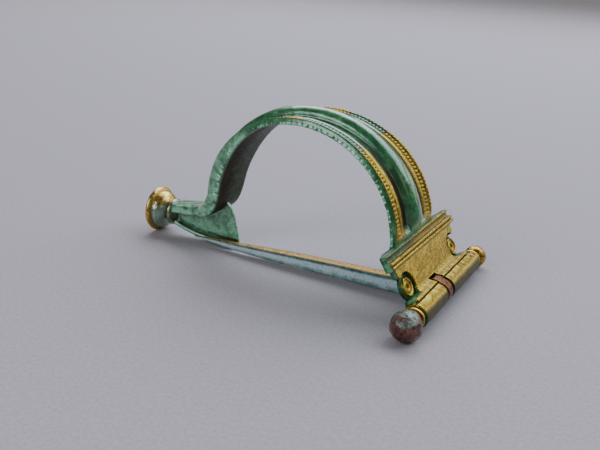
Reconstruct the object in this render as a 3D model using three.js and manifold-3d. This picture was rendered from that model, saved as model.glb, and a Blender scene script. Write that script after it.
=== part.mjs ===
// Hinged bow brooch (fibula) of the Roman military kind: a cast bow whose head plate is rolled
// into a hinge tube, a foot with a curled catch, a brass foot knob and an iron hinge axle with
// a ball on each end. Millimetres, +Z up. The hinge is at the +X end and the foot at the -X end.
// The brooch stands on its two axle balls and on the foot knob, and the origin is on the
// standing plane under the middle of its box.

import * as THREE from "three";
import { mergeVertices } from "three/addons/utils/BufferGeometryUtils.js";
import Module from "manifold-3d";

const wasm = await Module();
wasm.setup();

// Driving dimensions of the whole brooch
const overallLength = 54.6;
const ballRadius = 2.15;
const axleHeight = 2.1;
const hingeX = overallLength / 2 - ballRadius;
const knobEndX = -overallLength / 2;
const clearance = 0.3;
const weldDistance = 0.004;

// Arched bow
const archCentreX = 2.75;
const archCentreZ = 8.6;
const archRadiusX = 16.0;
const archRadiusZ = 14.85;
const archStart = -7;
const archEnd = 176;
const bowHalfWidthHead = 6.9;
const bowHalfWidthFoot = 3.9;
const edgeRidgeHeight = 1.25;
const milledRowHeight = 0.7;
const innerRidgeHeight = 0.9;
const fluteHeight = 0.6;
const ribShoulderHeight = 0.8;
const ribHeight = 2.1;
const ribShare = 0.27;
const ribSteps = 5;
const plainHeight = 1.3;
const plainCrown = 0.15;
const plainFrom = 10;
const plainTo = 5;
const archSteps = 44;

// Head plate, measured down its front face from the double moulding
const plateLean = THREE.MathUtils.degToRad(31);
const plateThickness = 1.7;
const plateTopS = -1.3;
const plateHalfWidthTop = 12.3;
const plateHalfWidthNeck = 11.3;
const mouldingTopS = -0.3;
const mouldingWidth = 0.5;
const mouldingGap = 0.15;
const mouldingRise = 0.5;
const hingeS = 7.62;
const hingeH = 0.27;

// Eyes: a round recess in each side of the plate, open outwards, with a dished pellet in it
const eyeY = 9.3;
const eyeS = 4.0;
const eyeRecessRadius = 2.05;
const eyeRecessDepth = 0.85;
const eyeBackRadius = 1.75;
const pelletRadius = 1.45;
const pelletRise = 0.6;
const pelletDish = 0.25;
const pelletPitRadius = 0.4;
const pelletPitDepth = 0.3;
const eyeSides = 24;

// Rolled hinge tube, its lip and its slot
const tubeRadius = 1.75;
const tubeHalfLength = 11.9;
const boreRadius = 1.05;
const tubeSides = 32;
const lipHalfWidth = 10.8;
const lipTopS = 5.75;
const lipEndS = 6.95;
const lipTopH = 0.6;
const lipEndH = 2.1;
const seamWidth = 0.25;
const seamDepth = 0.35;
const slotY = -1.95;
const slotWidth = 3.1;
const slotTopZ = 4.2;
const slotReach = 5.5;

// Foot bar and catch
const footEndX = -22.8;
const footEndTopZ = 6.2;
const footEndBottomZ = 4.3;
const footStraightX = -18.6;
const footStraightTopZ = 6.8;
const footStraightBottomZ = 4.7;
const footBendBelow = [-15.2, 5.3];
const footBendAbove = [-16.5, 7.0];
const footRootBelow = [-13.4, 8.6];
const footRootAbove = [-15.95, 8.9];
const footRootTopBelow = [-13.2, 10.4];
const footRootTopAbove = [-15.3, 10.6];
const footHalfWidthEnd = 2.0;
const footHalfWidthBend = 3.4;
const catchWallNearY = -0.1;
const catchWallFarY = 0.9;
const catchLipNearY = -1.3;
const catchLipThickness = 0.45;
const catchLipHeight = 0.85;
const catchFloorThickness = 0.45;
const catchWallHeight = 9;
const catchEndX = -10.6;
const catchLowest = 0.25;
const catchClimb = 1.6;
const catchEdgeCurve = [-11.5, 5.0];
const catchShoulder = [-12.3, 6.7];
const catchRoot = [-13.9, 8.3];

// Foot knob
const knobRadius = 3.8;
const knobAxisZ = 3.75;
const knobSides = 40;
const knobProfile = [
  [0, 0],
  [3.3, 0],
  [knobRadius - 0.1, 0.15],
  [knobRadius, 0.45],
  [knobRadius - 0.15, 0.8],
  [3.15, 1.0],
  [3.1, 1.6],
  [2.75, 2.3],
  [2.15, 2.85],
  [1.7, 3.1],
  [1.7, 3.3],
  [2.15, 3.5],
  [2.25, 3.75],
  [2.15, 4.05],
  [1.9, 4.2],
  [0, 4.2],
];

// Hinge axle, collars and balls
const axleRadius = 0.75;
const collarRadius = 1.55;
const collarThickness = 0.45;
const collarGap = 0.35;
const ballHalfLength = 2.25;
const ballY = 15.25;
const ballSides = 28;
const ballRings = 12;
const socketEnd = 0.8;

// Pin
const pinDiscRadius = 1.7;
const pinDiscThickness = 1.5;
const pinY = -2.1;
const pinEyeRadius = 1.05;
const pinTipX = -17.8;
const pinTipTopZ = 1.35;
const pinTipBottomZ = 1.05;
const pinTipWidth = 0.5;
const pinTaperFrom = 24;
const pinTopLine = { near: [4.5, 3.2], shoulder: [9, 2.85], middle: [24, 2.5], far: [34, 1.75] };
const pinUnderLine = { tip: [38, 0.5], far: [34, 0.42], near: [9, 0.35], head: [2, 0.45] };

const degrees = THREE.MathUtils.degToRad;

const finishes = {
  patina: new THREE.MeshStandardMaterial({ color: 0x5f8a6c, roughness: 0.5, metalness: 0.45 }),
  brass: new THREE.MeshStandardMaterial({ color: 0xb9975a, roughness: 0.35, metalness: 0.9 }),
  brassDark: new THREE.MeshStandardMaterial({ color: 0x9a7440, roughness: 0.45, metalness: 0.8 }),
  rust: new THREE.MeshStandardMaterial({ color: 0x6e4436, roughness: 0.75, metalness: 0.3 }),
  pinGreen: new THREE.MeshStandardMaterial({ color: 0x7b9a8c, roughness: 0.5, metalness: 0.4 }),
};

// Turns a closed three.js geometry into a solid that can be joined and cut
function solid(geometry) {
  const bare = geometry.clone();
  bare.deleteAttribute("normal");
  bare.deleteAttribute("uv");
  const merged = mergeVertices(bare, 1e-5);
  const mesh = new wasm.Mesh({
    numProp: 3,
    vertProperties: new Float32Array(merged.attributes.position.array),
    triVerts: new Uint32Array(merged.index.array),
  });
  return new wasm.Manifold(mesh);
}

// Turns a solid back into a geometry, and closes the very short edges that the cuts leave
function geometryOf(body) {
  const mesh = body.getMesh();
  const cut = new THREE.BufferGeometry();
  cut.setAttribute("position", new THREE.BufferAttribute(new Float32Array(mesh.vertProperties), 3));
  cut.setIndex(new THREE.BufferAttribute(new Uint32Array(mesh.triVerts), 1));
  const welded = mergeVertices(cut, weldDistance);
  const kept = [];
  for (let i = 0; i < welded.index.count; i += 3) {
    const corners = [0, 1, 2].map((corner) => welded.index.getX(i + corner));
    if (new Set(corners).size === 3) kept.push(...corners);
  }
  welded.setIndex(kept);
  welded.computeVertexNormals();
  return welded;
}

function joined(bodies) {
  return bodies.reduce((whole, body) => whole.add(body));
}

// Moves every vertex of a geometry by a function of its place
function reshape(geometry, move) {
  const position = geometry.attributes.position;
  const place = new THREE.Vector3();
  for (let i = 0; i < position.count; i += 1) {
    place.fromBufferAttribute(position, i);
    move(place);
    position.setXYZ(i, place.x, place.y, place.z);
  }
  return geometry;
}

// Extrudes a side profile, given as a Shape in the XZ plane, from nearY to farY
function sideProfile(shape, nearY, farY, steps = 1) {
  const options = { depth: farY - nearY, steps, bevelEnabled: false, curveSegments: 10 };
  const geometry = new THREE.ExtrudeGeometry(shape, options);
  geometry.rotateX(Math.PI / 2);
  geometry.translate(0, farY, 0);
  return geometry;
}

function shapeFrom(points) {
  return new THREE.Shape(points.map(([x, y]) => new THREE.Vector2(x, y)));
}

// The head plate's own frame: s runs down its front face and h out of it. Shapes drawn across
// the plate have their first coordinate towards -Y, and are the same on both sides.
const down = new THREE.Vector3(Math.sin(plateLean), 0, -Math.cos(plateLean));
const out = new THREE.Vector3(Math.cos(plateLean), 0, Math.sin(plateLean));
const plateOrigin = new THREE.Vector3(hingeX, 0, axleHeight)
  .addScaledVector(down, -hingeS)
  .addScaledVector(out, -hingeH);
const plateFrame = new THREE.Matrix4()
  .makeBasis(new THREE.Vector3(0, -1, 0), down, out)
  .setPosition(plateOrigin);

function onPlate(s, h) {
  return [plateOrigin.x + down.x * s + out.x * h, plateOrigin.z + down.z * s + out.z * h];
}

// Extrudes a shape drawn across the plate from one height above its face to another
function acrossPlate(shape, fromH, toH) {
  const geometry = new THREE.ExtrudeGeometry(shape, { depth: toH - fromH, steps: 1, bevelEnabled: false });
  geometry.translate(0, 0, fromH);
  return geometry.applyMatrix4(plateFrame);
}

// Cross-section of the bow: a round rib between two flutes, then on either side an inner ridge,
// a sunk row, a ridge along the edge and a sloping side. u is a share of the half width and v a
// height above the underside.
function bowSection() {
  const half = [
    [1.0, 0.0],
    [0.985, 0.3],
    [0.955, edgeRidgeHeight * 0.85],
    [0.93, edgeRidgeHeight],
    [0.88, edgeRidgeHeight * 0.97],
    [0.86, milledRowHeight],
    [0.73, milledRowHeight],
    [0.7, innerRidgeHeight],
    [0.56, innerRidgeHeight],
    [0.51, fluteHeight],
    [0.3, fluteHeight],
  ];
  for (let i = 0; i < ribSteps; i += 1) {
    const angle = (i / ribSteps) * Math.PI * 0.5;
    const rise = Math.sin(angle) * (ribHeight - ribShoulderHeight);
    half.push([ribShare * Math.cos(angle), ribShoulderHeight + rise]);
  }
  const mirrored = half.slice().reverse().map(([u, v]) => [-u, v]);
  return shapeFrom([...half, [0, ribHeight], ...mirrored]);
}

function bowHalfWidth(angle) {
  const share = THREE.MathUtils.clamp(angle / 180, 0, 1);
  return THREE.MathUtils.lerp(bowHalfWidthHead, bowHalfWidthFoot, share);
}

// Bends a straight length of the section round the arch. Near the head the carving dies out
// into a plain rounded surface, above the moulding.
function bowArch() {
  const geometry = new THREE.ExtrudeGeometry(bowSection(), { depth: 1, steps: archSteps, bevelEnabled: false });
  return reshape(geometry, (place) => {
    const angle = THREE.MathUtils.lerp(archStart, archEnd, place.z);
    const plain = 1 - THREE.MathUtils.smoothstep(angle, plainTo, plainFrom);
    const smooth = plainHeight * (1 - plainCrown * place.x * place.x);
    const isTop = place.y > fluteHeight * 0.9;
    const carved = isTop ? THREE.MathUtils.lerp(place.y, smooth, plain) : place.y;
    const across = -place.x * bowHalfWidth(angle);
    const t = degrees(angle);
    const normal = new THREE.Vector2(archRadiusZ * Math.cos(t), archRadiusX * Math.sin(t)).normalize();
    const x = archCentreX + archRadiusX * Math.cos(t) + normal.x * carved;
    const z = archCentreZ + archRadiusZ * Math.sin(t) + normal.y * carved;
    place.set(x, across, z);
  });
}

// Foot: the bow's narrow end turns outwards into a flat bar that runs to the knob
function footBar() {
  const outline = new THREE.Shape();
  outline.moveTo(footEndX, footEndTopZ);
  outline.lineTo(footEndX, footEndBottomZ);
  outline.lineTo(footStraightX, footStraightBottomZ);
  outline.quadraticCurveTo(...footBendBelow, ...footRootBelow);
  outline.lineTo(...footRootTopBelow);
  outline.lineTo(...footRootTopAbove);
  outline.lineTo(...footRootAbove);
  outline.quadraticCurveTo(...footBendAbove, footStraightX, footStraightTopZ);
  const geometry = sideProfile(outline, -1, 1, 4);
  return reshape(geometry, (place) => {
    const share = THREE.MathUtils.smoothstep(place.x, footEndX, -16);
    const upper = THREE.MathUtils.smoothstep(place.x, -16, -13.2);
    const bend = THREE.MathUtils.lerp(footHalfWidthEnd, footHalfWidthBend, share);
    place.y *= THREE.MathUtils.lerp(bend, bowHalfWidthFoot, upper);
  });
}

// Height of the catch's lower edge: it climbs from the open end towards the knob
function catchBottom(x) {
  const share = THREE.MathUtils.clamp((catchEndX - x) / (catchEndX - footEndX), 0, 1);
  return catchLowest + catchClimb * share * share * share;
}

// Catch: a thin wall below the foot whose lower edge is curled up on the near side. The curled
// section is swept along the foot, and the wall's outline is cut from it.
function catchPlate() {
  const section = shapeFrom([
    [catchWallFarY, 0],
    [catchWallFarY, catchWallHeight],
    [catchWallNearY, catchWallHeight],
    [catchWallNearY, catchFloorThickness],
    [catchLipNearY + catchLipThickness, catchFloorThickness],
    [catchLipNearY + catchLipThickness, catchLipHeight],
    [catchLipNearY, catchLipHeight],
    [catchLipNearY, 0.15],
    [catchLipNearY + 0.2, 0],
  ]);
  const reach = catchEndX - footEndX + 2;
  const swept = new THREE.ExtrudeGeometry(section, { depth: reach, steps: 10, bevelEnabled: false });
  reshape(swept, (place) => {
    const x = footEndX - 1 + place.z;
    place.set(x, place.x, place.y + catchBottom(x));
  });
  const outline = new THREE.Shape();
  outline.moveTo(footEndX, -1);
  outline.lineTo(catchEndX, -1);
  outline.lineTo(catchEndX, 1);
  outline.quadraticCurveTo(...catchEdgeCurve, ...catchShoulder);
  outline.lineTo(...catchRoot);
  outline.lineTo(footBendAbove[0], (footStraightBottomZ + footStraightTopZ) / 2 + 0.6);
  outline.lineTo(footEndX, (footEndBottomZ + footEndTopZ) / 2);
  return solid(swept).intersect(solid(sideProfile(outline, catchLipNearY - 1, catchWallFarY + 1)));
}

// Outline of the plate, drawn across it, from the top ledge down to the hinge tube
function plateOutline() {
  const half = [
    [plateHalfWidthTop - 0.3, plateTopS],
    [plateHalfWidthTop, plateTopS + 0.3],
    [plateHalfWidthTop, 0.9],
    [plateHalfWidthNeck, 1.1],
    [plateHalfWidthNeck - 0.2, 2.1],
  ];
  const arcSteps = 8;
  for (let i = 0; i <= arcSteps; i += 1) {
    const angle = degrees(THREE.MathUtils.lerp(-62, 62, i / arcSteps));
    half.push([eyeY + eyeBackRadius * Math.cos(angle), eyeS + eyeBackRadius * Math.sin(angle)]);
  }
  half.push([lipHalfWidth, lipTopS - 0.1], [lipHalfWidth, hingeS]);
  const mirrored = half.slice().reverse().map(([y, s]) => [-y, s]);
  return shapeFrom([...half, ...mirrored]);
}

function discShape(centreA, centreB, radius, sides) {
  const points = [];
  for (let i = 0; i < sides; i += 1) {
    const angle = (i / sides) * Math.PI * 2;
    points.push([centreA + radius * Math.cos(angle), centreB + radius * Math.sin(angle)]);
  }
  return shapeFrom(points);
}

// Pellet of an eye: a round boss with a raised rim, a dished top and a small pit
function pellet(side) {
  const base = -eyeRecessDepth - 0.2;
  const top = -eyeRecessDepth + pelletRise;
  const profile = [
    [0, base],
    [pelletRadius, base],
    [pelletRadius, top - 0.15],
    [pelletRadius * 0.88, top],
    [pelletRadius * 0.72, top],
    [pelletRadius * 0.5, top - pelletDish],
    [pelletPitRadius, top - pelletDish],
    [0, top - pelletDish - pelletPitDepth],
  ].map(([r, h]) => new THREE.Vector2(r, h));
  const geometry = new THREE.LatheGeometry(profile, eyeSides);
  geometry.rotateX(Math.PI / 2);
  geometry.translate(side * eyeY, eyeS, 0);
  return solid(geometry.applyMatrix4(plateFrame));
}

// Round bar along Y, about a line through x and z
function barAlongY(x, z, radius, nearY, farY, sides) {
  return solid(sideProfile(discShape(x, z, radius, sides), nearY, farY));
}

function headPlate() {
  let plate = solid(acrossPlate(plateOutline(), -plateThickness, 0));
  for (const side of [-1, 1]) {
    const recess = discShape(side * eyeY, eyeS, eyeRecessRadius, eyeSides);
    plate = plate.subtract(solid(acrossPlate(recess, -eyeRecessDepth, 1)));
    plate = plate.add(pellet(side));
  }
  const pieces = [plate];
  for (const index of [0, 1]) {
    const from = mouldingTopS + index * (mouldingWidth + mouldingGap);
    const to = from + mouldingWidth;
    const bar = shapeFrom([
      onPlate(from, -0.2),
      onPlate(to, -0.2),
      onPlate(to, mouldingRise * 0.6),
      onPlate((from + to) / 2 + mouldingWidth * 0.2, mouldingRise),
      onPlate((from + to) / 2 - mouldingWidth * 0.2, mouldingRise),
      onPlate(from, mouldingRise * 0.6),
    ]);
    pieces.push(solid(sideProfile(bar, -plateHalfWidthTop, plateHalfWidthTop)));
  }
  const lip = shapeFrom([
    onPlate(lipTopS, -0.5),
    onPlate(hingeS, -0.5),
    onPlate(hingeS, lipEndH - 0.2),
    onPlate(lipEndS, lipEndH - 0.05),
    onPlate(lipEndS - 0.35, lipEndH - 0.2),
    onPlate(lipTopS + 0.12, lipTopH),
    onPlate(lipTopS, lipTopH - 0.15),
  ]);
  pieces.push(solid(sideProfile(lip, -lipHalfWidth, lipHalfWidth)));
  pieces.push(barAlongY(hingeX, axleHeight, tubeRadius, -tubeHalfLength, tubeHalfLength, tubeSides));
  return joined(pieces);
}

// Seam where the rolled sheet's edge meets the lip
function seam() {
  const cut = shapeFrom([
    onPlate(lipEndS + 0.02, lipEndH + 0.5),
    onPlate(lipEndS + 0.02, lipEndH - seamDepth),
    onPlate(lipEndS + 0.02 + seamWidth, lipEndH - seamDepth),
    onPlate(lipEndS + 0.02 + seamWidth, lipEndH + 0.5),
  ]);
  return solid(sideProfile(cut, -tubeHalfLength - 1, tubeHalfLength + 1));
}

// Slot for the pin's head: it goes right through the tube and under the plate
function pinSlot() {
  const cut = shapeFrom([
    [hingeX - slotReach, -1],
    [hingeX + tubeRadius + 1, -1],
    [hingeX + tubeRadius + 1, slotTopZ],
    [hingeX - slotReach, slotTopZ],
  ]);
  return solid(sideProfile(cut, slotY - slotWidth / 2, slotY + slotWidth / 2));
}

// The arch runs down into the plate, and what would stand out behind the plate is cut away
function rootedArch() {
  const behind = shapeFrom([
    onPlate(plateTopS + 0.2, -plateThickness + 0.1),
    onPlate(plateTopS + 0.2, -plateThickness - 5),
    onPlate(hingeS, -plateThickness - 5),
    onPlate(hingeS, -plateThickness + 0.1),
  ]);
  return solid(bowArch()).subtract(solid(sideProfile(behind, -plateHalfWidthTop, plateHalfWidthTop)));
}

function bow() {
  const whole = joined([headPlate(), rootedArch(), solid(footBar()), catchPlate()]);
  const bore = barAlongY(hingeX, axleHeight, boreRadius, -tubeHalfLength - 1, tubeHalfLength + 1, tubeSides);
  return whole.subtract(bore).subtract(seam()).subtract(pinSlot());
}

// Cuts a small flat on the underside, at the standing plane
function standing(body) {
  const size = 2 * overallLength;
  const slab = new THREE.BoxGeometry(size, size, 10);
  slab.translate(0, 0, -5);
  return body.subtract(solid(slab));
}

// Turned foot knob: a thin-rimmed end disc, a rounded bulb, a neck and a collar
function footKnob() {
  const points = knobProfile.map(([r, along]) => new THREE.Vector2(r, along));
  const geometry = new THREE.LatheGeometry(points, knobSides);
  geometry.rotateZ(-Math.PI / 2);
  geometry.translate(knobEndX, 0, knobAxisZ);
  return standing(solid(geometry));
}

// Axle ball: a solid of revolution about the axle, with a blind socket in its inner side
function ball(side) {
  const socketRadius = axleRadius + clearance;
  const start = Math.asin(socketRadius / ballRadius);
  const profile = [];
  for (let i = 0; i <= ballRings; i += 1) {
    const angle = THREE.MathUtils.lerp(start, Math.PI, i / ballRings);
    profile.push([ballRadius * Math.sin(angle), -ballHalfLength * Math.cos(angle)]);
  }
  profile[ballRings][0] = 0;
  profile.unshift([0, socketEnd], [socketRadius, socketEnd]);
  const points = profile.map(([r, along]) => new THREE.Vector2(r, along));
  const geometry = new THREE.LatheGeometry(points, ballSides);
  if (side < 0) geometry.rotateX(Math.PI);
  geometry.translate(hingeX, side * ballY, axleHeight);
  return standing(solid(geometry));
}

function collar(side) {
  const shape = discShape(hingeX, axleHeight, collarRadius, ballSides);
  shape.holes.push(discShape(hingeX, axleHeight, axleRadius + clearance, ballSides));
  const middle = side * (tubeHalfLength + collarGap + collarThickness / 2);
  return solid(sideProfile(shape, middle - collarThickness / 2, middle + collarThickness / 2));
}

function axle() {
  const end = ballY + socketEnd - clearance;
  return barAlongY(hingeX, axleHeight, axleRadius, -end, end, 20);
}

// Pin: a flat round head with an eye, and a shank that tapers to a point beside the catch
function pin() {
  const outline = new THREE.Shape();
  const behind = ([distance, z]) => [hingeX - distance, z];
  outline.moveTo(hingeX + pinDiscRadius, axleHeight);
  outline.absarc(hingeX, axleHeight, pinDiscRadius, 0, degrees(104), false);
  outline.quadraticCurveTo(...behind(pinTopLine.near), ...behind(pinTopLine.shoulder));
  outline.quadraticCurveTo(...behind(pinTopLine.middle), ...behind(pinTopLine.far));
  outline.lineTo(pinTipX, pinTipTopZ);
  outline.lineTo(pinTipX, pinTipBottomZ);
  outline.quadraticCurveTo(...behind(pinUnderLine.tip), ...behind(pinUnderLine.far));
  outline.lineTo(...behind(pinUnderLine.near));
  outline.lineTo(...behind(pinUnderLine.head));
  outline.absarc(hingeX, axleHeight, pinDiscRadius, degrees(250), degrees(360), false);
  const geometry = sideProfile(outline, -1, 1);
  reshape(geometry, (place) => {
    const share = THREE.MathUtils.smoothstep(hingeX - place.x, pinTaperFrom, hingeX - pinTipX);
    place.y = pinY + (place.y * THREE.MathUtils.lerp(pinDiscThickness, pinTipWidth, share)) / 2;
  });
  const eye = barAlongY(hingeX, axleHeight, pinEyeRadius, pinY - 2, pinY + 2, 24);
  return solid(geometry).subtract(eye);
}

function named(name, body, material) {
  const mesh = new THREE.Mesh(geometryOf(body), material);
  mesh.name = name;
  return mesh;
}

const brooch = new THREE.Group();
brooch.name = "bow_brooch";
brooch.add(named("bow", bow(), finishes.patina));
brooch.add(named("foot_knob", footKnob(), finishes.brass));
brooch.add(named("hinge_axle", axle(), finishes.rust));
brooch.add(named("near_collar", collar(-1), finishes.brass));
brooch.add(named("far_collar", collar(1), finishes.brass));
brooch.add(named("near_ball", ball(-1), finishes.rust));
brooch.add(named("far_ball", ball(1), finishes.brassDark));
brooch.add(named("pin", pin(), finishes.pinGreen));

export default brooch;
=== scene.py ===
import itertools
import math

import bpy
import numpy as np
from mathutils import Matrix


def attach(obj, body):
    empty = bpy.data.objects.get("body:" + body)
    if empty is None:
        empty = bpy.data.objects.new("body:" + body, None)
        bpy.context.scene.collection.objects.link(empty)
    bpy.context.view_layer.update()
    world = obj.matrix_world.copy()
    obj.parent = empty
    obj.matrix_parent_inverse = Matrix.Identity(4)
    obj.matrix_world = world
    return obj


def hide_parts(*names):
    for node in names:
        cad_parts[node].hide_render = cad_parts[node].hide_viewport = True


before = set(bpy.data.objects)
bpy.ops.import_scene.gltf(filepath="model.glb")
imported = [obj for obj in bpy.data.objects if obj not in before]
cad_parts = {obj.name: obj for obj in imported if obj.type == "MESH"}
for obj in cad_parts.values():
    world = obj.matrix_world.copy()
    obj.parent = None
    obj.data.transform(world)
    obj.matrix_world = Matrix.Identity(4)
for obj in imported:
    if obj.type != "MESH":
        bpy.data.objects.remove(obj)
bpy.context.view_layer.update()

mm = 0.001  # shapes are worked out in millimetres and turned to metres when the mesh is made


# General tools: numbers, meshes and nodes

def toLinear(hexColour):
    channels = [int(hexColour[i:i + 2], 16) / 255 for i in (1, 3, 5)]
    linear = [c / 12.92 if c <= 0.04045 else ((c + 0.055) / 1.055) ** 2.4 for c in channels]
    return (*linear, 1.0)


def smooth(value, start, end):
    share = np.clip((value - start) / (end - start), 0, 1)
    return share * share * (3 - 2 * share)


def within(value, rise, full, fall, end):
    # 1 from full to fall, eased down to 0 at rise and at end
    return smooth(value, rise, full) * (1 - smooth(value, fall, end))


def lumps(points, size, seed):
    # a smooth random field between about -1 and 1, with lumps of the given size in mm
    place = points / size + np.array([17.3, 5.9, 11.7]) * (seed + 1)
    cell = np.floor(place).astype(np.int64)
    inside = place - cell
    inside = inside * inside * (3 - 2 * inside)
    total = np.zeros(len(points))
    for corner in itertools.product((0, 1), repeat=3):
        key = (cell + corner) @ np.array([73856093, 19349663, 83492791])
        key = (key ^ (key >> 13)) * 1274126177 & 0x7FFFFFFF
        key = (key ^ (key >> 15)) * 668265263 & 0x7FFFFFFF
        weight = np.prod(np.where(np.array(corner) == 1, inside, 1 - inside), axis=1)
        total += weight * ((key >> 8) % 65536 / 32768 - 1)
    return total


def resample(line, spacing):
    # points at equal or given distances along a polyline, with those distances
    step = np.linalg.norm(np.diff(line, axis=0), axis=1)
    reach = np.concatenate([[0], np.cumsum(step)])
    if np.isscalar(spacing):
        spacing = np.linspace(0, reach[-1], int(reach[-1] / spacing) + 1)
    return np.stack([np.interp(spacing, reach, column) for column in line.T], 1), spacing


def ringFaces(ringCount, ringSize, joinEnds=False):
    # quads between neighbouring closed rings, and a cap on each end unless the ends are joined
    first = np.arange(ringCount if joinEnds else ringCount - 1)[:, None] * ringSize
    second = (first + ringSize) % (ringCount * ringSize)
    here = np.arange(ringSize)
    there = (here + 1) % ringSize
    quads = np.stack([first + here, first + there, second + there, second + here], -1)
    faces = quads.reshape(-1, 4).tolist()
    if not joinEnds:
        last = (ringCount - 1) * ringSize
        faces += [list(range(ringSize))[::-1], list(range(last, last + ringSize))]
    return faces


def signedVolume(points, faces):
    quads = np.array([face for face in faces if len(face) == 4])
    a, b, c, d = (points[quads[:, i]] for i in range(4))
    return (np.cross(a, b) * c).sum() + (np.cross(a, c) * d).sum()


def makePiece(name, points, faces):
    if signedVolume(points, faces) < 0:
        faces = [face[::-1] for face in faces]
    mesh = bpy.data.meshes.new(name)
    mesh.from_pydata((points * mm).tolist(), [], faces)
    mesh.validate()
    piece = bpy.data.objects.new(name, mesh)
    bpy.context.scene.collection.objects.link(piece)
    return piece


def pointsOf(piece):
    flat = np.empty(len(piece.data.vertices) * 3)
    piece.data.vertices.foreach_get("co", flat)
    return flat.reshape(-1, 3) / mm


def normalsOf(piece):
    flat = np.empty(len(piece.data.vertices) * 3)
    piece.data.vertex_normals.foreach_get("vector", flat)
    return flat.reshape(-1, 3)


def roughen(piece, layers):
    # pushes the surface in and out along its normals: each layer is (lump size, height, seed) in mm
    points, normals = pointsOf(piece), normalsOf(piece)
    push = sum(height * lumps(points, size, seed) for size, height, seed in layers)
    moved = points + normals * push[:, None]
    moved[:, 2] = np.maximum(moved[:, 2], 0)
    piece.data.vertices.foreach_set("co", (moved * mm).ravel())
    piece.data.update()


def cutAway(piece, cutter):
    step = piece.modifiers.new("cut", "BOOLEAN")
    step.operation = "DIFFERENCE"
    step.solver = "MANIFOLD"
    step.object = cutter
    bpy.context.view_layer.update()
    graph = bpy.context.evaluated_depsgraph_get()
    cutMesh = bpy.data.meshes.new_from_object(piece.evaluated_get(graph))
    piece.modifiers.clear()
    piece.data = cutMesh
    bpy.data.objects.remove(cutter)


def finishPiece(piece, body, material, node, creaseAngle, wearAndPaintedLight, grimeAndShade, pale=None):
    # wear, grime and pale are shares from 0 to 1, one for each point or one for all; wear and grime also
    # carry painted light and shade, and pale carries some painted highlights
    for name, values in (("wearAndPaintedLight", wearAndPaintedLight), ("grimeAndShade", grimeAndShade), ("pale", pale)):
        if values is not None:
            layer = piece.data.attributes.new(name, "FLOAT", "POINT")
            values = np.broadcast_to(np.clip(values, 0, 1).astype(np.float32), len(layer.data))
            layer.data.foreach_set("value", values)
    piece.data.shade_smooth()
    piece.data.set_sharp_from_angle(angle=math.radians(creaseAngle))
    piece.data.materials.clear()
    piece.data.materials.append(materials[material])
    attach(piece, body)
    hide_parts(node)


def addNode(tree, kind, settings=None, links=None):
    # settings: node properties or input values, colours as hex
    # links: input name or number -> output socket
    node = tree.nodes.new("ShaderNode" + kind)
    for key, value in (settings or {}).items():
        if isinstance(key, int) or key in node.inputs:
            node.inputs[key].default_value = toLinear(value) if isinstance(value, str) else value
        else:
            setattr(node, key, value)
    for key, socket in (links or {}).items():
        tree.links.new(socket, node.inputs[key])
    return node


def newMaterial(name):
    material = bpy.data.materials.new(name)
    material.use_nodes = True
    material.node_tree.nodes.clear()
    return material, material.node_tree


def scaleFor(size):
    return 1 / (size * mm)  # a noise texture's scale for lumps of this size in mm


# Camera, fitted to the photograph's view

cameraView = {
    "target": (0.876, 0.0, 6.453),   # mm
    "azimuth": 27.94,                # degrees, 0 looks along +Y
    "elevation": 19.67,
    "roll": 2.68,
    "distance": 121.6,               # mm
    "lens": 46.33,                   # mm on a sensor 36 mm wide
}


def direction(azimuth, elevation):
    azimuth, elevation = math.radians(azimuth), math.radians(elevation)
    return np.array([math.sin(azimuth) * math.cos(elevation),
                     -math.cos(azimuth) * math.cos(elevation), math.sin(elevation)])


def aimFrom(thing, target, azimuth, elevation, distance, roll=0.0):
    # sets a camera or lamp at the given distance in metres, looking at the target
    back = direction(azimuth, elevation)
    level = direction(azimuth + 90, 0)
    up = np.cross(back, level)
    roll = math.radians(roll)
    right = math.cos(roll) * level + math.sin(roll) * up
    place = Matrix.Identity(4)
    for number, column in enumerate((right, np.cross(back, right), back, target + back * distance)):
        for row in range(3):
            place[row][number] = column[row]
    thing.matrix_world = place
    bpy.context.scene.collection.objects.link(thing)


def makeCamera(view):
    data = bpy.data.cameras.new("camera")
    data.lens = view["lens"]
    data.sensor_width = 36
    data.clip_start = 0.005
    camera = bpy.data.objects.new("camera", data)
    aimFrom(camera, np.array(view["target"]) * mm, view["azimuth"], view["elevation"],
            view["distance"] * mm, view["roll"])
    bpy.context.scene.camera = camera


makeCamera(cameraView)
print("camera set")


# Materials

aged = {   # where the painted shares and the noises turn one finish into the next
    "paleRange": (0.08, 0.75), "paleMost": 0.9,
    "oliveRange": (0.22, 0.5), "bareRange": (0.48, 0.72),
    "grimeShadeRange": (0.15, 0.95), "grimeShadeMost": 0.97, "grimeShadeBreak": 0.5,
    "grimeShadeDulls": 0.8, "grimeShadeRoughens": 0.35, "fineRoughens": 0.22,
    "gloss": (0.5, 0.1),   # specular level, clean and under grime and painted shade
    "coatRoughness": 0.16,
    "grainRelief": 0.05, "fineRelief": 0.12,   # mm
}


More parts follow.
